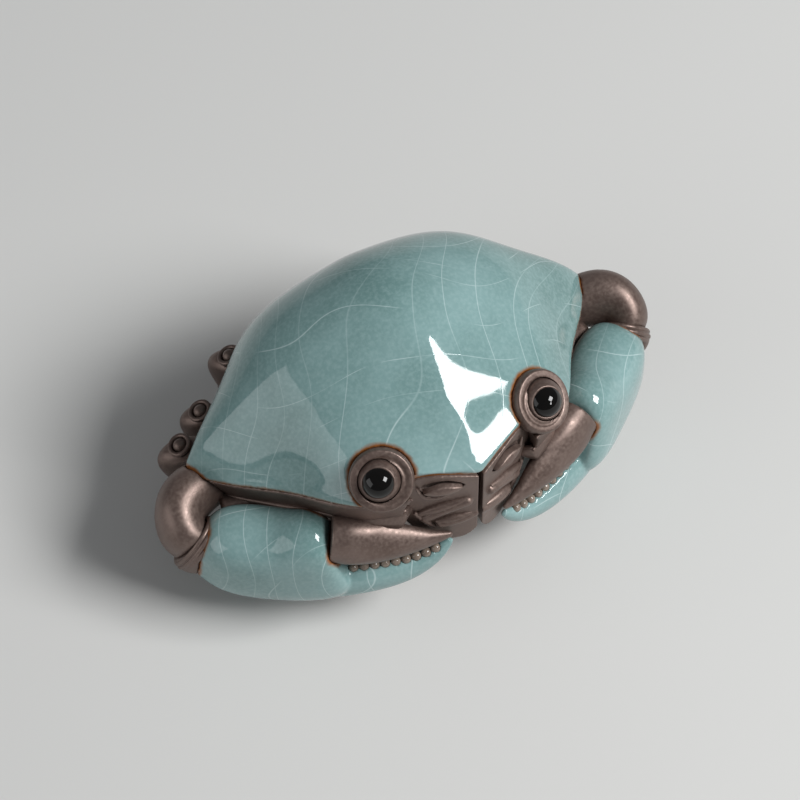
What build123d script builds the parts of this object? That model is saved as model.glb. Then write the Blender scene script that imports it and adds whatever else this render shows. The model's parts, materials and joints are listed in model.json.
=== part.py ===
"""Crab figurine of fired clay, put together from hand-formed pieces.

The crab faces -Y, its back is up, and it rests on the flat foot of its body at Z = 0.
Left and right are the crab's own: its left side is +X. Lengths are in millimetres.
"""

import os
from math import cos, pi, radians, sin, sqrt

from build123d import *

# Whole figurine
overall_width = 65.0
overall_depth = 38.0
overall_height = 36.0

# Back shell, lying on a rim that rises towards the front
claw_overhang = 5.8
jaw_overhang = 0.5
leg_overhang = 2.0
shell_half_width = overall_width / 2 - claw_overhang
shell_front = overall_depth / 2 - jaw_overhang
shell_rear = overall_depth / 2 - leg_overhang
corner_behind = 3.45
corner_height = 15.2
rim_slope = 0.49
crest_behind = 0.4
front_power = 1.55
lip_roll = 0.35
lip_height = 0.8
wall = 2.6
# From the middle to the side corner: share of the half width, of the way from the corner
# to the front, of the way to the rear, of the rise to the crest, and the rear curve's power
shell_shares = [
    (0.0, 1.0, 1.0, 1.0, 2.3),
    (0.3, 0.955, 0.99, 0.885, 2.25),
    (0.56, 0.76, 0.765, 0.68, 2.35),
    (0.68, 0.54, 0.545, 0.54, 2.35),
    (0.835, 0.31, 0.29, 0.34, 2.35),
    (0.95, 0.12, 0.1, 0.16, 2.2),
    (0.985, 0.05, 0.05, 0.08, 2.0),
]

# Lower body
band_height = 4.2
band_share = 0.955
waist_share = 0.75
waist_level = 0.55
foot_share = 0.6
floor_thickness = 3.0
vent_diameter = 3.0
vent_behind = 5.0

# Eyes
ball_radius = 2.5
ball_clearance = 0.25
socket_wall = 0.75
socket_lip = 1.3
socket_swell = 0.25
fold_offset = 0.4
fold_reach = 2.6
fold_radius = 0.25
eye_place = (0.338, 0.779)
eye_rise = 0.317
eye_turn = 28.0
eye_lift = 48.0
pupil_radius = 1.75
pupil_swell = 2.0
pupil_seat = 1.55
left_gaze = -19.0
right_gaze = 5.0

# Mouth plates, measured left of the middle, behind the front of the shell and below its
# rim: front view from the foot of the slit round the outer side to the top of the slit,
# then the plan of the front, the folds of the lips and the ends of the leaf
slit_half_width = 0.3
jaw_sides = [(2.9, 14.0), (6.4, 11.8), (8.3, 7.4), (8.5, 2.8), (7.1, -0.2), (4.2, -0.65)]
jaw_foot = 11.6
jaw_front = [(0.0, -0.4), (4.0, 1.3), (8.6, 3.7)]
jaw_back = 5.1
jaw_backing = 1.0
lip_radius = 0.65
lip_folds = [
    [(5.9, 2.1, 8.2), (3.7, 1.0, 6.3), (1.5, 0.2, 5.2)],
    [(4.3, 1.3, 9.6), (2.8, 0.7, 9.3), (0.3, 0.2, 8.5)],
]
leaf_ends = [(6.3, 2.2, 1.9), (2.0, 0.5, 1.5)]
leaf_width = 2.2
leaf_depth = 0.8
leaf_gap = 0.3

# Claws
tooth_count = 9
tooth_radius = 0.6
tooth_seat = 0.9
tooth_row = (0.2, 0.95)
tenon_length = 1.2
palm_fullness = 0.765

# Walking legs
leg_radius = 1.65
shin_spread = 1.2
foot_lift = 0.2
calf_level = 0.45
thigh_length = 4.5
thigh_drop = 3.4
knee_half_length = 0.65
knee_sink = 0.8
leg_girths = [0.85, 1.0, 1.0, 0.75, 0.45]
dish_radius = 1.15
dish_depth = 0.95
dish_tilt = 25.0
dish_seat = 0.9
knee_ball_radius = 0.85

# Slices of the limbs: place as shares of the half width and half depth of the figurine
# and of the height of the shell's corners, then half thickness and half height
arm_slices = [
    (0.695, -0.126, 0.816, 2.6, 2.8),
    (0.794, -0.105, 0.868, 3.0, 3.7),
    (0.889, -0.021, 0.868, 3.0, 4.2),
    (0.911, 0.089, 0.776, 2.9, 4.2),
    (0.895, 0.142, 0.73, 2.6, 3.8),
]
wrist_slices = [
    (0.895, 0.142, 0.73, 2.9, 4.2),
    (0.885, 0.168, 0.711, 3.2, 4.6),
    (0.872, 0.195, 0.691, 2.9, 4.2),
]
palm_slices = [
    (0.872, 0.195, 0.691, 2.7, 4.0),
    (0.818, 0.258, 0.691, 3.9, 5.6),
    (0.728, 0.366, 0.691, 4.5, 6.4),
    (0.625, 0.511, 0.73, 4.35, 6.6),
    (0.551, 0.621, 0.809, 4.0, 6.8),
    (0.505, 0.682, 0.862, 3.5, 6.45),
    (0.477, 0.713, 0.888, 2.5, 5.0),
]
lower_finger_slices = [
    (0.597, 0.6, 0.553, 2.2, 2.8),
    (0.517, 0.721, 0.526, 1.9, 2.6),
    (0.366, 0.842, 0.586, 1.8, 2.5),
    (0.231, 0.916, 0.645, 1.35, 1.85),
    (0.148, 0.947, 0.763, 0.8, 1.1),
    (0.108, 0.958, 0.868, 0.3, 0.4),
]
upper_finger_slices = [
    (0.477, 0.729, 1.066, 2.3, 2.9),
    (0.443, 0.768, 1.053, 2.25, 2.85),
    (0.369, 0.832, 1.02, 1.9, 2.4),
    (0.246, 0.9, 0.987, 1.3, 1.75),
    (0.154, 0.947, 0.974, 0.65, 0.9),
    (0.105, 0.968, 0.967, 0.3, 0.4),
]
# Knees from the side to the rear
knee_places = [
    (0.735, -0.463, 0.711),
    (0.597, -0.642, 0.632),
    (0.409, -0.858, 0.724),
]


def place(across, ahead, up):
    """Point given as shares of the half width, the half depth and the height of the corners."""
    return Vector(across * overall_width / 2, -ahead * overall_depth / 2, up * corner_height)


def spot(across, ahead, up):
    """Point given in millimetres left of, ahead of and above the origin."""
    return Vector(across, -ahead, up)


def mouth(across, behind, below):
    """Point measured from the front of the shell at the height of its rim."""
    return spot(across, shell_front - behind, rim_level(shell_front) - below)


def rim_level(ahead):
    """Height of the rim of the back shell at a distance ahead of the middle."""
    return corner_height + rim_slope * (ahead + corner_behind)


def rim_stations(inset=0.0):
    """Stations of the shell in millimetres, from the crab's right corner to its left."""
    half = [
        (
            across * (shell_half_width - inset),
            front * (shell_front + corner_behind - inset) - corner_behind,
            rear * (corner_behind - shell_rear + inset) - corner_behind,
            rise,
            power,
        )
        for across, front, rear, rise, power in shell_shares
    ]
    return [(-half_row[0], *half_row[1:]) for half_row in reversed(half[1:])] + half


def dome_slice(across, front, rear, rise, power, inset):
    """One upright slice of the back shell, an arched top over a straight bottom."""
    share = abs(across) / (shell_half_width - inset)
    crest = -crest_behind * (1 - share) - corner_behind * share
    top = corner_height + (overall_height - inset - corner_height) * rise
    lip = rim_level(front) + lip_height * rise
    low = rim_level(rear)
    foot = front - lip_roll * rise
    points = [(across, -foot, rim_level(foot))]
    for step in range(5):
        reach = cos(pi / 2 * step / 4)
        height = lip + (top - lip) * (1 - reach**front_power)
        points.append((across, -(crest + (front - crest) * reach), height))
    for step in range(1, 5):
        reach = sin(pi / 2 * step / 4) ** (2 / power)
        height = low + (top - low) * cos(pi / 2 * step / 4) ** (2 / power)
        points.append((across, -(crest + (rear - crest) * reach), height))
    points[-1] = (across, -rear, low)
    return make_face([Spline(*points), Line(points[-1], points[0])])


def dome(inset=0.0):
    """The back shell as a solid lump; an inset gives the hollow inside it."""
    return loft([dome_slice(*station, inset) for station in rim_stations(inset)])


def body_outline(share, lowering=0.0, level=1.0):
    """Outline of the lower body, a share of the rim on a part of the height of the rim plane."""
    stations = rim_stations()
    points = [(station[0], station[1]) for station in stations]
    points += [(station[0], station[2]) for station in reversed(stations)]
    ring = [
        (across * share, -ahead * share, level * (rim_level(ahead * share) - lowering))
        for across, ahead in points
    ]
    return make_face(Spline(*ring, periodic=True))


def stations(centres, side=None):
    """Planes across a path of centres; a side vector keeps them square to it."""
    planes = []
    for index, centre in enumerate(centres):
        along = centres[min(index + 1, len(centres) - 1)] - centres[max(index - 1, 0)]
        across = side or along.cross(Vector(0, 0, 1))
        planes.append(Plane(origin=centre, x_dir=across, z_dir=along))
    return planes


def rolled(planes, sizes):
    """Rolled clay through oval slices on planes."""
    return loft([plane * Ellipse(*size) for plane, size in zip(planes, sizes)])


def full_oval(half_thickness, half_height):
    """Oval with fuller shoulders than an ellipse."""
    ring = []
    for step in range(8):
        reach = 1 if step % 2 == 0 else palm_fullness / cos(pi / 4)
        turn = step * pi / 4
        ring.append((half_thickness * reach * cos(turn), half_height * reach * sin(turn)))
    return make_face(Spline(*ring, periodic=True))


def tenon(plane, size, back_reach, front_reach=0.0):
    """Oval peg behind a plane, which joins a piece to the one it grows from."""
    return plane * Pos(0, 0, -back_reach) * extrude(Ellipse(*size), back_reach + front_reach)


def look(turn, lift):
    """Direction turned outward from straight ahead and lifted above the level."""
    return spot(
        sin(radians(turn)) * cos(radians(lift)),
        cos(radians(turn)) * cos(radians(lift)),
        sin(radians(lift)),
    )


def mirrored(shape):
    """The same piece for the crab's right side."""
    return mirror(shape, about=Plane.YZ)


# Back shell, and a lump ahead of which the figurine is solid behind the mouth plates
back = dome()
face_block = Pos(0, jaw_back + jaw_backing - shell_front - overall_depth / 2, 0)
face_block *= Box(overall_width, overall_depth, 2 * overall_height)

# Lower body: a bowl on a flat foot, the upright band between it and the rim, and a hollow
bowl = loft(
    [
        body_outline(foot_share, level=0),
        body_outline(waist_share, band_height, waist_level),
        body_outline(band_share, band_height),
    ]
)
bowl += loft([body_outline(band_share, band_height), body_outline(1.0)], ruled=True)
bowl -= Pos(0, 0, -overall_height / 2) * Box(overall_width, overall_depth, overall_height)
thinning = wall / shell_front
bowl_hollow = loft(
    [
        Pos(0, 0, floor_thickness) * body_outline(foot_share - thinning, level=0),
        body_outline(1 - 2 * thinning),
    ]
)
vent = Pos(0, vent_behind, 0) * Cylinder(vent_diameter / 2, 4 * floor_thickness)

# Eye sockets, cups that lap past the widest part of the balls they hold
sight = look(eye_turn, eye_lift)
eye_spot = place(*eye_place, 0)
eye_rim = rim_level(-eye_spot.Y)
eye_spot += Vector(0, 0, eye_rim + eye_rise * (overall_height - eye_rim))
eye_centre = eye_spot - sight * socket_lip
nose_side = look(eye_turn - 90, 0)
cup_radius = ball_radius + ball_clearance + socket_wall + socket_swell
cup = Pos(*(eye_centre + nose_side * socket_swell)) * Sphere(cup_radius)
cup_front = Plane(origin=eye_centre + sight * socket_lip, z_dir=sight)
left_socket = cup - cup_front * extrude(Rectangle(3 * cup_radius, 3 * cup_radius), cup_radius)
left_socket -= Pos(*eye_centre) * Sphere(ball_radius + ball_clearance)
fold_plane = Plane(origin=cup_front.origin + nose_side * fold_offset, z_dir=sight)
left_socket -= fold_plane * Torus(fold_reach, fold_radius)


def eye(gaze):
    """Ball and pupil of the left eye, turned outward in the socket by the gaze."""
    line = sight * cos(radians(gaze)) + look(eye_turn + 90, 0) * sin(radians(gaze))
    frame = Plane(origin=eye_centre, z_dir=line)
    bead_centre = sqrt(ball_radius**2 - pupil_radius**2) - sqrt(pupil_swell**2 - pupil_radius**2)
    seat = Pos(0, 0, pupil_seat) * extrude(Circle(ball_radius), ball_radius)
    pupil = Pos(0, 0, bead_centre) * Sphere(pupil_swell) & seat
    return frame * (Sphere(ball_radius) - pupil), frame * pupil


# Claws: arm, wrist collar, palm with the lower finger, upper finger and teeth
claw_slices = arm_slices + wrist_slices[1:] + palm_slices[1:]
claw_planes = stations([place(*cut[:3]) for cut in claw_slices])
wrist_start = len(arm_slices) - 1
palm_start = wrist_start + len(wrist_slices) - 1
raw_arm = rolled(claw_planes, [cut[3:] for cut in arm_slices])
left_arm = raw_arm - back
left_wrist = rolled(claw_planes[wrist_start:], [cut[3:] for cut in wrist_slices])
upper_planes = stations([place(*cut[:3]) for cut in upper_finger_slices])
upper_sizes = [cut[3:] for cut in upper_finger_slices]
left_upper_finger = rolled(upper_planes, upper_sizes) + tenon(upper_planes[0], upper_sizes[0], tenon_length)
lower_planes = stations([place(*cut[:3]) for cut in lower_finger_slices])
palm_planes = claw_planes[palm_start:]
left_palm = loft([plane * full_oval(*cut[3:]) for plane, cut in zip(palm_planes, palm_slices)])
left_palm += rolled(lower_planes, [cut[3:] for cut in lower_finger_slices])
left_palm -= tenon(upper_planes[0], upper_sizes[0], tenon_length, tenon_length)
finger_path = Spline(
    *[place(*cut[:3]) + Vector(0, 0, tooth_seat * cut[4]) for cut in lower_finger_slices[1:-1]]
)
teeth = []
for number in range(tooth_count):
    share = tooth_row[0] + (tooth_row[1] - tooth_row[0]) * number / (tooth_count - 1)
    teeth.append(Pos(*(finger_path @ share)) * Sphere(tooth_radius))
left_palm -= teeth

# Mouth plate with its lip folds and the leaf set in its recess
front_rim = rim_level(shell_front)
slit_foot = (slit_half_width, front_rim - jaw_foot)
slit_top = (slit_half_width, front_rim)
outer_side = [(across, front_rim - below) for across, below in jaw_sides]
jaw_view = make_face([Line(slit_top, slit_foot), Spline(slit_foot, *outer_side, slit_top)])
front_edge = [(across, behind - shell_front) for across, behind in jaw_front]
back_line = jaw_back - shell_front
jaw_plan = make_face(
    [
        Spline(*front_edge),
        Polyline(front_edge[-1], (front_edge[-1][0], back_line), (0, back_line), front_edge[0]),
    ]
)
jaw_room = extrude(Plane.XZ.offset(-back_line) * jaw_view, overall_depth)
left_jaw = jaw_room & extrude(jaw_plan, overall_height)
for fold in lip_folds:
    ridge = Spline(*[mouth(*point) for point in fold])
    lip = sweep(Plane(origin=ridge @ 0, z_dir=ridge % 0) * Circle(lip_radius), path=ridge)
    for end in (ridge @ 0, ridge @ 1):
        lip += Pos(*end) * Sphere(lip_radius)
    left_jaw += lip
slit_middle = Pos(0, back_line - overall_depth / 2, front_rim - jaw_foot / 2)
slit = slit_middle * Box(2 * slit_half_width, overall_depth, jaw_foot)
left_jaw = left_jaw - slit - cup

leaf_root, leaf_tip = (mouth(*end) for end in leaf_ends)
leaf_run = leaf_tip - leaf_root
leaf_plane = Plane(
    origin=(leaf_root + leaf_tip) / 2,
    x_dir=leaf_run,
    z_dir=Vector(0, 0, 1).cross(leaf_run),
)


def leaf(margin):
    """Almond outline of the antennule, grown by a margin."""
    reach = leaf_run.length / 2 + margin
    half = leaf_width / 2 + margin
    return make_face(
        [
            ThreePointArc((-reach, 0), (0, half), (reach, 0)),
            ThreePointArc((reach, 0), (0, -half), (-reach, 0)),
        ]
    )


left_antennule = leaf_plane * extrude(leaf(0), leaf_depth / 2, both=True)
left_jaw -= leaf_plane * extrude(leaf(leaf_gap), leaf_depth / 2, both=True)
left_jaw = left_jaw.solids().sort_by(SortBy.VOLUME)[-1]

# Walking legs, each with a ball set in a recess on top of its knee
legs, knee_balls = [], []
for shares in knee_places:
    knee = place(*shares)
    outward = Vector(knee.X, knee.Y, 0).normalized()
    ankle = Vector(knee.X, knee.Y, foot_lift) + outward * shin_spread
    bend = knee - Vector(0, 0, knee_sink)
    centres = [
        knee - outward * thigh_length - Vector(0, 0, thigh_drop),
        bend - outward * knee_half_length,
        bend + outward * knee_half_length,
        ankle + Vector(0, 0, calf_level * knee.Z),
        ankle,
    ]
    planes = stations(centres, outward.cross(Vector(0, 0, 1)))
    sizes = [(leg_radius * girth, leg_radius * girth) for girth in leg_girths]
    dish_axis = outward * sin(radians(dish_tilt)) + Vector(0, 0, cos(radians(dish_tilt)))
    floor = bend + dish_axis * (leg_radius - dish_depth)
    dish = Plane(origin=floor, z_dir=dish_axis) * extrude(Circle(dish_radius), leg_radius)
    ball = Pos(*(floor + dish_axis * knee_ball_radius * dish_seat)) * Sphere(knee_ball_radius)
    knee_balls.append(ball & dish)
    legs.append(rolled(planes, sizes) - dish)

# The sockets and mouth plates are let into the shell and the body, the limbs into the body
inlays = [cup, jaw_room, mirrored(cup), mirrored(jaw_room)]
limbs = [raw_arm, *legs]
carapace = back - (dome(inset=wall) - face_block) - slit - inlays
body = bowl - (bowl_hollow - face_block) - vent - slit - inlays
body = body - limbs - [mirrored(limb) for limb in limbs]

os.makedirs("parts", exist_ok=True)
pieces = {"carapace": carapace, "body": body}
sides = {
    "eye_socket": left_socket,
    "jaw": left_jaw,
    "antennule": left_antennule,
    "arm": left_arm,
    "wrist": left_wrist,
    "palm": left_palm,
    "upper_finger": left_upper_finger,
}
for number, (leg, knee_ball) in enumerate(zip(legs, knee_balls), 1):
    sides[f"leg_{number}"] = leg
    sides[f"knee_{number}"] = knee_ball
for name, piece in sides.items():
    pieces[f"left_{name}"] = piece
    pieces[f"right_{name}"] = mirrored(piece)
pieces["left_teeth"] = Compound(children=teeth)
pieces["right_teeth"] = Compound(children=[mirrored(tooth) for tooth in teeth])
pieces["left_eyeball"], pieces["left_pupil"] = eye(left_gaze)
pieces["right_eyeball"], pieces["right_pupil"] = (mirrored(shape) for shape in eye(right_gaze))
for name, piece in pieces.items():
    export_step(piece, f"parts/{name}.step")
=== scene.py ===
"""Ceramic crab figurine: crackle-glazed back and claws on bare brown clay. Units are metres."""

import json
from math import cos, pi, radians, sin

import bmesh
import bpy
from mathutils import Matrix, Vector
from mathutils.bvhtree import BVHTree


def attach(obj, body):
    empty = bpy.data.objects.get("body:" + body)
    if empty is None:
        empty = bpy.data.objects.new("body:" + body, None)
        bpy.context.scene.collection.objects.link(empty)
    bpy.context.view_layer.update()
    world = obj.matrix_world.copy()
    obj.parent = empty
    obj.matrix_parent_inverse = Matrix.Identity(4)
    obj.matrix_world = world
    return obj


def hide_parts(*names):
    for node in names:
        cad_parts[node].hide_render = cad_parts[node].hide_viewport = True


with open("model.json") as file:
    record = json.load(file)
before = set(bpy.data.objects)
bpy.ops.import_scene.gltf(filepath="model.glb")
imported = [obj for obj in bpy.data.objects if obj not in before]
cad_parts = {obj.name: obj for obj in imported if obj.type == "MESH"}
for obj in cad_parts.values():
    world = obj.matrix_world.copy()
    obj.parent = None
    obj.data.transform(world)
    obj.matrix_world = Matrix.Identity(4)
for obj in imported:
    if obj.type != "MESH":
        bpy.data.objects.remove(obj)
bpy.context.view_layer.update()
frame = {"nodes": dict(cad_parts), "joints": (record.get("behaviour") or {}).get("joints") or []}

# Back shell: a domed lid of pale stoneware under a thick grey-green crackle glaze.
# It is pressed in a mould and luted to the body; the glaze thins to a brown line
# wherever it ends against bare clay.
mm = 0.001


def linear(code):
    """Linear colour of an sRGB hex code."""
    parts = [int(code[i : i + 2], 16) / 255 for i in (1, 3, 5)]
    return tuple(p / 12.92 if p <= 0.04045 else ((p + 0.055) / 1.055) ** 2.4 for p in parts) + (1.0,)


def add(tree, kind, settings=(), **links):
    """Adds a shader node, sets its properties and sockets, and links its inputs by name or number."""
    made = tree.nodes.new(kind)
    for key, value in dict(settings).items():
        if isinstance(key, str) and hasattr(made, key):
            setattr(made, key, value)
        else:
            made.inputs[key].default_value = value
    for key, source in links.items():
        socket = made.inputs[int(key[1:])] if key[1:].isdigit() else made.inputs[key.replace("_", " ")]
        tree.links.new(source, socket)
    return made


def new_finish(name):
    """A new material, its tree, its surface and the place of each point on the piece."""
    finish = bpy.data.materials.new(name)
    finish.use_nodes = True
    tree = finish.node_tree
    where = add(tree, "ShaderNodeTexCoord").outputs["Object"]
    return finish, tree, tree.nodes["Principled BSDF"], where


# Celadon: a thick grey-green glaze with darker pools and fine pale flecks.
# It crazed as it cooled: long curved hairlines about 4 mm apart run from the face up over
# the back, with short side cracks between them.
celadon, tree, surface, where = new_finish("celadon crackle glaze")
finishes = {"celadon_glaze": celadon}
bend = add(tree, "ShaderNodeTexNoise", {"Scale": 1 / (30 * mm), "Detail": 1.0}, Vector=where)
bend = add(
    tree,
    "ShaderNodeVectorMath",
    {"operation": "SUBTRACT", 1: (0.5, 0.5, 0.5)},
    _0=bend.outputs["Color"],
)
bend = add(tree, "ShaderNodeVectorMath", {"operation": "SCALE", "Scale": 26 * mm}, _0=bend.outputs[0])
bent = add(tree, "ShaderNodeVectorMath", {"operation": "ADD"}, _0=where, _1=bend.outputs[0])


def hairlines(across, gap, width, patch, least):
    """Cracks with a gap and a width in millimetres, which fade to the least between patches."""
    run = add(tree, "ShaderNodeVectorMath", {"operation": "DOT_PRODUCT", 1: across}, _0=bent.outputs[0])
    edges = add(
        tree,
        "ShaderNodeTexVoronoi",
        {"voronoi_dimensions": "1D", "feature": "DISTANCE_TO_EDGE", "Scale": 1 / (gap * mm)},
        W=run.outputs["Value"],
    )
    line = add(
        tree,
        "ShaderNodeMapRange",
        {"From Min": 0.25 * width / gap, "From Max": width / gap, "To Min": 1.0, "To Max": 0.0},
        Value=edges.outputs["Distance"],
    )
    fade = add(tree, "ShaderNodeTexNoise", {"Scale": 1 / (patch * mm), "Detail": 0.0}, Vector=where)
    fade = add(
        tree,
        "ShaderNodeMapRange",
        {"From Min": 0.42, "From Max": 0.6, "To Min": least, "To Max": 1.0},
        Value=fade.outputs["Fac"],
    )
    return add(tree, "ShaderNodeMath", {"operation": "MULTIPLY"}, _0=line.outputs[0], _1=fade.outputs[0])


across_long = (cos(radians(34)), -sin(radians(34)), 0)
across_side = (sin(radians(20)), cos(radians(20)), 0.3)
long_cracks = hairlines(across_long, gap=4.2, width=0.085, patch=13, least=0.35)
side_cracks = hairlines(across_side, gap=5, width=0.07, patch=5, least=0.0)
cracks = add(
    tree,
    "ShaderNodeMath",
    {"operation": "MAXIMUM"},
    _0=long_cracks.outputs[0],
    _1=side_cracks.outputs[0],
)
pool = add(tree, "ShaderNodeTexNoise", {"Scale": 1 / (14 * mm), "Detail": 3.0}, Vector=where)
pool = add(tree, "ShaderNodeMapRange", {"From Min": 0.3, "From Max": 0.7}, Value=pool.outputs["Fac"])
depth = add(
    tree,
    "ShaderNodeMix",
    {"data_type": "RGBA", 6: linear("#5F807E"), 7: linear("#86A5A5")},
    _0=pool.outputs[0],
)
fleck = add(tree, "ShaderNodeTexNoise", {"Scale": 1 / (0.45 * mm), "Detail": 2.0}, Vector=where)
fleck = add(
    tree,
    "ShaderNodeMapRange",
    {"From Min": 0.4, "From Max": 0.75, "To Min": 0.0, "To Max": 0.25},
    Value=fleck.outputs["Fac"],
)
flecked = add(
    tree,
    "ShaderNodeMix",
    {"data_type": "RGBA", 7: linear("#A6BFBF")},
    _0=fleck.outputs[0],
    _6=depth.outputs[2],
)
paleness = add(tree, "ShaderNodeMath", {"operation": "MULTIPLY", 1: 0.5}, _0=cracks.outputs[0])
lined = add(
    tree,
    "ShaderNodeMix",
    {"data_type": "RGBA", 7: linear("#C2D6D6")},
    _0=paleness.outputs[0],
    _6=flecked.outputs[2],
)
ends = add(tree, "ShaderNodeAttribute", {"attribute_name": "to_clay"})
rag = add(tree, "ShaderNodeTexNoise", {"Scale": 1 / (1.1 * mm), "Detail": 2.0}, Vector=where)
edge = add(
    tree,
    "ShaderNodeMath",
    {"operation": "MULTIPLY_ADD", 1: -0.5},
    _0=rag.outputs["Fac"],
    _2=ends.outputs["Fac"],
)
thin = add(
    tree,
    "ShaderNodeMapRange",
    {"From Min": -0.05, "From Max": 0.36, "To Min": 1.0, "To Max": 0.0},
    Value=edge.outputs[0],
)
coloured = add(
    tree,
    "ShaderNodeMix",
    {"data_type": "RGBA", 7: linear("#84522A")},
    _0=thin.outputs[0],
    _6=lined.outputs[2],
)
tree.links.new(coloured.outputs[2], surface.inputs["Base Color"])
peel = add(tree, "ShaderNodeTexNoise", {"Scale": 1 / (7 * mm), "Detail": 1.0}, Vector=where)
relief = add(
    tree,
    "ShaderNodeMath",
    {"operation": "MULTIPLY_ADD", 1: -0.05},
    _0=cracks.outputs[0],
    _2=peel.outputs["Fac"],
)
bump = add(tree, "ShaderNodeBump", {"Strength": 0.2, "Distance": 0.2 * mm}, Height=relief.outputs[0])
tree.links.new(bump.outputs[0], surface.inputs["Normal"])
surface.inputs["Roughness"].default_value = 0.06
surface.inputs["IOR"].default_value = 1.52


def place(name, shape):
    """Puts a mesh, curve, lamp or lens into the scene as an object."""
    made = bpy.data.objects.new(name, shape)
    bpy.context.scene.collection.objects.link(made)
    return made


def settle(name, form):
    """Makes an object of a bmesh, which ends here."""
    mesh = bpy.data.meshes.new(name)
    form.to_mesh(mesh)
    form.free()
    return place(name, mesh)


def worked(made):
    """The mesh that an object's modifiers or curve give."""
    return bpy.data.meshes.new_from_object(made.evaluated_get(bpy.context.evaluated_depsgraph_get()))


def dress(piece, body, slot):
    """Gives a piece its finish and the body that it rides on."""
    piece.data.materials.clear()
    piece.data.materials.append(finishes[slot])
    piece.data.shade_smooth()
    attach(piece, body)


def soften(name, body, slot, grain=0, rounds=0, build_up=None):
    """A copy of a CAD piece, built up with more clay if asked, with its edges worn soft when a grain is
    given.
    """
    form = bmesh.new()
    form.from_mesh(frame["nodes"][name].data)
    bmesh.ops.remove_doubles(form, verts=form.verts, dist=0.001 * mm)
    if build_up:
        build_up(form)
    piece = settle(name + "_clay", form)
    if grain:
        remesh = piece.modifiers.new("grain", "REMESH")
        remesh.mode = "VOXEL"
        remesh.voxel_size = grain
        sponge = piece.modifiers.new("sponge", "SMOOTH")
        sponge.iterations = rounds
        sponge.factor = 0.5
        piece.data = worked(piece)
        piece.modifiers.clear()
    dress(piece, body, slot)
    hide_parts(name)
    return piece


def share(value):
    """A value held between 0 and 1."""
    return min(1, max(0, value))


def skin(names):
    """The faces of some CAD pieces, for finding the nearest point on them."""
    form = bmesh.new()
    for name in names:
        form.from_mesh(frame["nodes"][name].data)
    faces = BVHTree.FromBMesh(form)
    form.free()
    return faces


glazed_or_loose = ("carapace", "palm", "teeth", "eyeball", "pupil")
bare_clay = skin(name for name in frame["nodes"] if not name.endswith(glazed_or_loose))


def mark_glaze_ends(piece):
    """Stores on every point how far, in millimetres, the glaze runs from the nearest bare clay."""
    ends = piece.data.attributes.new("to_clay", "FLOAT", "POINT")
    for point, end in zip(piece.data.vertices, ends.data):
        end.value = bare_clay.find_nearest(point.co)[3] / mm


carapace = soften("carapace", "crab", "celadon_glaze", grain=0.28 * mm, rounds=6)
jaw_front, jaw_slant = 18.6, 0.44
lip_top, lip_fade = 30, 3
mouth_side, mouth_fade = 9.5, 2.5
for point in carapace.data.vertices:
    # The lip is thumbed back over the mouth, flush with the jaw plates below it.
    aside, ahead = abs(point.co.x) / mm, -point.co.y / mm
    overhang = max(0, ahead - (jaw_front - jaw_slant * aside))
    near_lip = share((lip_top - point.co.z / mm) / lip_fade)
    near_mouth = share((mouth_side - aside) / mouth_fade)
    point.co.y += overhang * near_lip * near_mouth * mm
mark_glaze_ends(carapace)

# Lower body: a bowl of iron-rich clay, left bare and burnished, on a foot cut flat with a wire.
# Its upright band carries the shell and ends below in a thin rolled edge, which the thumb
# pressed down over the backs of the claws.

# Bare clay: fired purple-brown, burnished with the thumb to a bronze-like satin, with
# fine grit about 0.4 mm across that breaks the shine.
clay, tree, surface, where = new_finish("burnished iron clay")
finishes["brown_clay"] = clay
firing = add(tree, "ShaderNodeTexNoise", {"Scale": 1 / (6 * mm), "Detail": 4.0}, Vector=where)
tone = add(
    tree,
    "ShaderNodeMix",
    {"data_type": "RGBA", 6: linear("#4C3A32"), 7: linear("#83716A")},
    _0=firing.outputs["Fac"],
)
grit = add(tree, "ShaderNodeTexNoise", {"Scale": 1 / (0.4 * mm), "Detail": 3.0}, Vector=where)
speck = add(
    tree,
    "ShaderNodeMapRange",
    {"From Min": 0.4, "From Max": 0.7, "To Min": 0.0, "To Max": 0.3},
    Value=grit.outputs["Fac"],
)
speckled = add(
    tree,
    "ShaderNodeMix",
    {"data_type": "RGBA", 7: linear("#94847A")},
    _0=speck.outputs[0],
    _6=tone.outputs[2],
)
tree.links.new(speckled.outputs[2], surface.inputs["Base Color"])
shine = add(
    tree,
    "ShaderNodeMapRange",
    {"From Min": 0.3, "From Max": 0.7, "To Min": 0.34, "To Max": 0.54},
    Value=grit.outputs["Fac"],
)
tree.links.new(shine.outputs[0], surface.inputs["Roughness"])
bump = add(tree, "ShaderNodeBump", {"Strength": 0.12, "Distance": 0.03 * mm}, Height=grit.outputs["Fac"])
tree.links.new(bump.outputs[0], surface.inputs["Normal"])
surface.inputs["Metallic"].default_value = 0.6
surface.inputs["IOR"].default_value = 1.6

soften("body", "crab", "brown_clay", grain=0.3 * mm, rounds=4)
sides = (("left", 1), ("right", -1))


def on_side(sign, points):
    """Points on the crab's left, 1, or right, -1, from how far aside, ahead and high they lie."""
    return [Vector((sign * aside, -ahead, high)) for aside, ahead, high in points]


def roll(name, points, radius, closed=False):
    """A thin roll of clay through points in millimetres, thinner towards open ends."""
    path = bpy.data.curves.new(name, "CURVE")
    path.dimensions = "3D"
    path.bevel_depth = radius * mm
    path.bevel_resolution = 4
    path.resolution_u = 10
    path.use_fill_caps = True
    line = path.splines.new("NURBS")
    line.points.add(len(points) - 1)
    for knot, point in zip(line.points, points):
        knot.co = (*(value * mm for value in point), 1.0)
    line.order_u = 4
    line.use_cyclic_u = closed
    line.use_endpoint_u = not closed
    if not closed:
        line.points[0].radius = line.points[-1].radius = 0.4
    guide = place(name + "_guide", path)
    piece = place(name, worked(guide))
    bpy.data.objects.remove(guide)
    bpy.data.curves.remove(path)
    dress(piece, "crab", "brown_clay")


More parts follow.
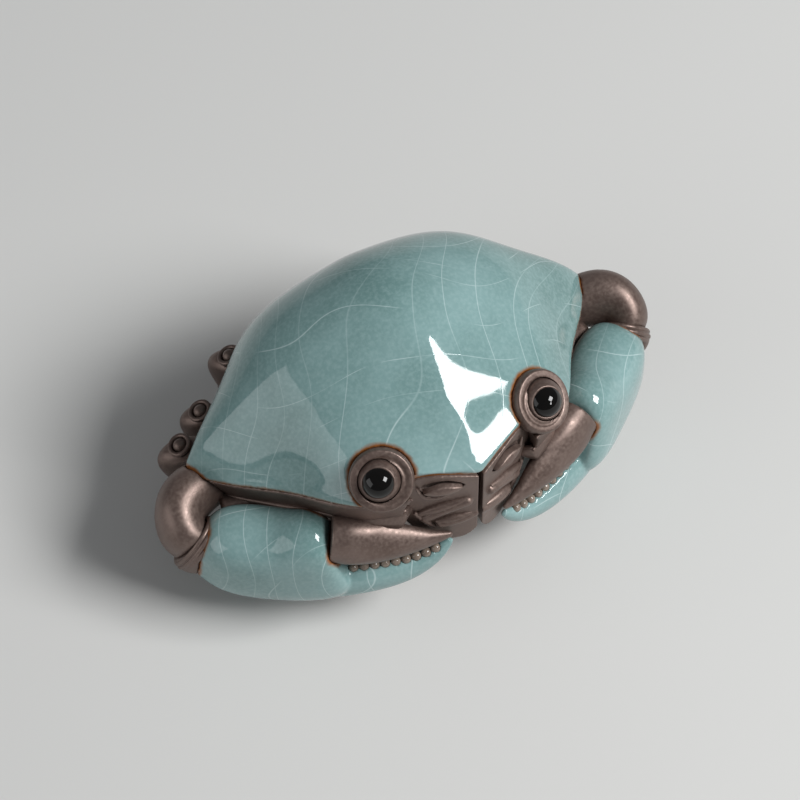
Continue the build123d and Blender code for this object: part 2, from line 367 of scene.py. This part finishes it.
band_foot = [
    (8.3, 16.3, 20.7),
    (11.2, 14.8, 20.1),
    (14.3, 12.5, 18.9),
    (17.3, 8.0, 16.6),
    (21.3, 3.2, 14.3),
    (24.6, -0.9, 13.2),
]
cheek = (6.6, 14.9, 19.6)
web_back = Vector((0, 0.6, 0.3)) * mm
arm_side = 13.5 * mm
to_claw_at_arm, to_claw_inside, to_claw_at_cheek = 1.1, 0.75, 0.2
steps = 6
for side, sign in sides:
    foot = on_side(sign, band_foot)
    roll(side + "_band_edge", foot, radius=0.45)
    # A web of clay closes the slit below the band. Beside the arm it ends just inside the claw,
    # further in it stops short of the claw, and from the cheek on it dies into the jaw plate.
    claw = skin([side + "_palm", side + "_upper_finger"])
    web = bmesh.new()
    rings = []
    start = on_side(sign, [cheek])[0]
    for stop in foot:
        for step in range(steps):
            top = start.lerp(stop, step / steps) * mm
            claw_point, _, _, span = claw.find_nearest(top)
            to_claw = to_claw_inside if abs(top.x) < arm_side else to_claw_at_arm
            if stop is foot[0]:
                to_claw *= to_claw_at_cheek + (1 - to_claw_at_cheek) * step / steps
            low = top.lerp(claw_point, to_claw)
            swell = Vector((0, -0.04 * span, 0))
            upper, lower = top.lerp(low, 0.33) + swell, top.lerp(low, 0.67) + swell
            outline = (top, upper, lower, low, low + web_back, top + web_back)
            corners = [web.verts.new(point) for point in outline]
            rings.append([web.edges.new(pair) for pair in zip(corners, corners[1:] + corners[:1])])
        start = stop
    for ring, following in zip(rings, rings[1:]):
        bmesh.ops.bridge_loops(web, edges=ring + following)
    bmesh.ops.edgeloop_fill(web, edges=rings[0] + rings[-1])
    bmesh.ops.recalc_face_normals(web, faces=web.faces)
    dress(settle(side + "_band_web", web), "crab", "brown_clay")

# Eyes: clay cups let into the front of the shell, each with a clay ball that turns in it
# and a bead of black glaze for the pupil.

# Pupil glaze: an iron black, fired thick and mirror smooth.
black_glaze, tree, surface, where = new_finish("iron black glaze")
finishes["black_glaze"] = black_glaze
haze = add(tree, "ShaderNodeTexNoise", {"Scale": 1 / (0.8 * mm), "Detail": 2.0}, Vector=where)
depth = add(
    tree,
    "ShaderNodeMix",
    {"data_type": "RGBA", 6: linear("#030303"), 7: linear("#0E0B09")},
    _0=haze.outputs["Fac"],
)
tree.links.new(depth.outputs[2], surface.inputs["Base Color"])
surface.inputs["Roughness"].default_value = 0.04
surface.inputs["IOR"].default_value = 1.4

ball_clearance, lip_press, push_out = 0.05 * mm, 0.4, 1.3
for joint in frame["joints"]:
    eye = joint["child"]
    socket = soften(eye + "_socket", "crab", "brown_clay", grain=0.1 * mm, rounds=16)
    ball = soften(eye + "ball", eye, "brown_clay")
    soften(eye.replace("eye", "pupil"), eye, "black_glaze")
    centre, axis = Vector(joint["pos_m"]), Vector(joint["axis"])
    level = Vector((0, 0, 1)).cross(axis).normalized()
    sight = axis.cross(level)
    room = max((point.co - centre).length for point in ball.data.vertices) + ball_clearance
    for point in socket.data.vertices:
        # The lip is pressed low and wide, but stays clear of the ball.
        high = (point.co - centre).dot(sight)
        if high > 0:
            point.co -= sight * lip_press * high
        out = point.co - centre
        if out.length < room:
            aside = out - sight * out.dot(sight)
            point.co += aside.normalized() * (room - out.length) * push_out

# Mouth: two clay plates with folded lips, and a leaf-shaped antennule domed up in a pocket in
# each. A thin roll rims the lower side of the pocket and thicker ones ride on the folds.
leaf_rim = [(6.9, 16.0, 24.7), (6.5, 16.3, 22.7), (5.2, 16.8, 22.1), (4.0, 17.4, 22.6), (2.3, 18.1, 24.3)]
upper_fold = [(6.6, 16.1, 18.6), (5.2, 16.7, 19.5), (3.5, 17.5, 20.4), (1.5, 18.3, 21.3)]
lower_fold = [(4.8, 17.0, 16.6), (3.7, 17.5, 17.0), (2.3, 18.0, 17.3), (0.9, 18.4, 17.7)]
outer_fold = [(7.1, 15.9, 19.0), (6.4, 16.3, 17.9), (5.0, 16.8, 15.2)]
leaf_middle, leaf_half_length, leaf_half_height = (4.25, 17.15, 24.26), 2.4 * mm, 1.2 * mm
leaf_shrink, leaf_dome = 0.3, 0.55 * mm
for side, sign in sides:
    soften(side + "_jaw", "crab", "brown_clay", grain=0.1 * mm, rounds=4)
    antennule = soften(side + "_antennule", "crab", "brown_clay", grain=0.08 * mm, rounds=6)
    middle = on_side(sign, [leaf_middle])[0] * mm
    along = Vector((-0.927 * sign, -0.366, 0.086))
    outward = Vector((0.37 * sign, -0.93, 0))
    for point in antennule.data.vertices:
        # The leaf shrinks from its pocket and swells towards the middle.
        from_middle = point.co - middle
        lengthwise = from_middle.dot(along)
        upright = from_middle.z - along.z * lengthwise
        point.co.z -= leaf_shrink * upright
        dome_along = max(0, 1 - (lengthwise / leaf_half_length) ** 2)
        dome_up = max(0, 1 - (upright / leaf_half_height) ** 2)
        point.co += outward * leaf_dome * dome_along * dome_up
    roll(side + "_leaf_rim", on_side(sign, leaf_rim), radius=0.3)
    roll(side + "_upper_fold", on_side(sign, upper_fold), radius=0.75)
    roll(side + "_lower_fold", on_side(sign, lower_fold), radius=0.65)
    roll(side + "_outer_fold", on_side(sign, outer_fold), radius=0.5)

# Claws: arms, wrist collars with creases and upper fingers of bare clay, luted to glazed
# palms. Each palm runs out into the lower finger, with a row of small beads on it for teeth.

# Tooth beads: brown clay that the celadon ran thin over, so they glint.
bead_glaze, tree, surface, where = new_finish("thin glaze on clay beads")
finishes["glazed_beads"] = bead_glaze
wear = add(tree, "ShaderNodeTexNoise", {"Scale": 1 / (0.7 * mm), "Detail": 2.0}, Vector=where)
tone = add(
    tree,
    "ShaderNodeMix",
    {"data_type": "RGBA", 6: linear("#4A3426"), 7: linear("#A2978B")},
    _0=wear.outputs["Fac"],
)
tree.links.new(tone.outputs[2], surface.inputs["Base Color"])
surface.inputs["Roughness"].default_value = 0.06


def middle_of(piece):
    """The mean of a piece's points."""
    return sum((point.co for point in piece.data.vertices), Vector()) / len(piece.data.vertices)


def oval(middle, wide, high):
    """Points round a middle, from the two half axes of an oval."""
    turns = [2 * pi * step / 16 for step in range(16)]
    return [middle + wide * cos(turn) + high * sin(turn) for turn in turns]


first_fold, next_fold = Vector((29.05, 2.8, 11.05)), Vector((-0.3, 0.4, -0.25))
fold_sizes = [(2.95, 4.3), (3.1, 4.5), (2.95, 4.3)]
ridge_up, ridge_swell, ridge_fade = Vector((0, 0.5, 0.86)), Vector((0, 0.8, 1.0)) * mm, 2 * mm
for side, sign in sides:
    soften(side + "_arm", "crab", "brown_clay", grain=0.18 * mm, rounds=5)
    soften(side + "_wrist", "crab", "brown_clay", grain=0.18 * mm, rounds=5)
    finger = soften(side + "_upper_finger", "crab", "brown_clay", grain=0.18 * mm, rounds=5)
    reach = [abs(point.co.x) for point in finger.data.vertices]
    tip, root = min(reach), max(reach)
    middle = middle_of(finger)
    for point in finger.data.vertices:
        # Its ridge runs straight from root to tip, so the middle swells up and back.
        along = (abs(point.co.x) - tip) / (root - tip)
        lift = share(0.4 + (point.co - middle).dot(ridge_up) / ridge_fade)
        point.co += ridge_swell * 4 * along * (1 - along) * lift
    palm = soften(side + "_palm", "crab", "celadon_glaze", grain=0.18 * mm, rounds=5)
    mark_glaze_ends(palm)
    soften(side + "_teeth", "crab", "glazed_beads")
    along = Vector((-0.75 * sign, -1.0, -0.6)).normalized()
    across = along.cross(Vector((0, 0, 1))).normalized()
    upright = across.cross(along)
    for number, (thick, high) in enumerate(fold_sizes):
        middle = on_side(sign, [first_fold + next_fold * number])[0]
        crease = oval(middle, across * thick, upright * high)
        roll(f"{side}_wrist_fold_{number + 1}", crease, radius=0.32, closed=True)

# Walking legs: rolled clay, bent at the knee, each with a clay bead set in a dish on top and a
# thin roll round the dish. The shins are rolled round and taper to the floor; the CAD's own
# shins are pinched flat there.
ankles = [(25.01, 9.21, 5.3), (20.42, 12.84, 4.7), (14.05, 17.23, 5.4)]
sole, dish_tilt, dish_radius, dish_rise = 0.15, radians(25), 1.25, 0.2


def add_shin(leg, x, y, calf):
    """Adds a round taper from the sole of a leg up to its calf, in millimetres."""
    bmesh.ops.create_cone(
        leg,
        cap_ends=True,
        segments=32,
        radius1=0.82 * mm,
        radius2=1.26 * mm,
        depth=(calf - sole) * mm,
        matrix=Matrix.Translation(Vector((x, y, (sole + calf) / 2)) * mm),
    )


for side, sign in sides:
    for number, (x, y, calf) in enumerate(ankles, 1):
        soften(
            f"{side}_leg_{number}",
            "crab",
            "brown_clay",
            grain=0.14 * mm,
            rounds=4,
            build_up=lambda leg: add_shin(leg, sign * x, y, calf),
        )
        knee = soften(f"{side}_knee_{number}", "crab", "brown_clay")
        middle = middle_of(knee) / mm
        outward = Vector((middle.x, middle.y, 0)).normalized()
        tilted = outward * sin(dish_tilt) + Vector((0, 0, cos(dish_tilt)))
        sideways = tilted.cross(outward).normalized()
        level = sideways.cross(tilted)
        rim = oval(middle + tilted * dish_rise, level * dish_radius, sideways * dish_radius)
        roll(f"{side}_knee_rim_{number}", rim, radius=0.28, closed=True)

# Stage: a pale floor of matt paper, which gives an even grey with no shine, two soft panels
# and a camera high on the crab's right front.
paper, _, surface, _ = new_finish("matt grey paper")
surface.inputs["Base Color"].default_value = linear("#CFCFCD")
surface.inputs["Roughness"].default_value = 0.9
sheet = bmesh.new()
bmesh.ops.create_grid(sheet, x_segments=1, y_segments=1, size=2.0)
floor = settle("floor", sheet)
floor.data.materials.append(paper)

world = bpy.data.worlds.new("studio")
bpy.context.scene.world = world
world.use_nodes = True
world.node_tree.nodes["Background"].inputs["Color"].default_value = linear("#B9BCC0")
world.node_tree.nodes["Background"].inputs["Strength"].default_value = 0.3


def panel(name, spot, size, power):
    """A soft panel that shines from a spot at the middle of the crab."""
    lamp = bpy.data.lights.new(name, "AREA")
    lamp.shape = "RECTANGLE"
    lamp.size, lamp.size_y = size
    lamp.energy = power
    toward = Vector((0, 0, 15 * mm)) - Vector(spot)
    turned = toward.to_track_quat("-Z", "Y").to_matrix().to_4x4()
    place(name, lamp).matrix_world = Matrix.Translation(spot) @ turned


panel("window", (0.31, -0.29, 0.47), size=(0.3, 0.24), power=4.4)
panel("wall", (-0.57, 0.08, 0.2), size=(0.5, 0.34), power=0.8)

azimuth, elevation, distance = radians(-29.5), radians(60), 0.5
backward = Vector((sin(azimuth) * cos(elevation), -cos(azimuth) * cos(elevation), sin(elevation)))
right = Vector((cos(azimuth), sin(azimuth), 0))
upward = backward.cross(right)
picture_width, pixel = 800, mm / 8.5
lens = bpy.data.cameras.new("camera")
lens.sensor_width = 36
lens.lens = lens.sensor_width * distance / (picture_width * pixel)
lens.clip_start = 0.01
camera = place("camera", lens)
looked_at = Vector((0, 0.4 * mm, 12 * mm)) + right * 2 * pixel + upward * 9 * pixel
facing = Matrix((right, upward, backward)).transposed().to_4x4()
camera.matrix_world = Matrix.Translation(looked_at + backward * distance) @ facing
bpy.context.scene.camera = camera
bpy.context.scene.view_settings.view_transform = "Standard"
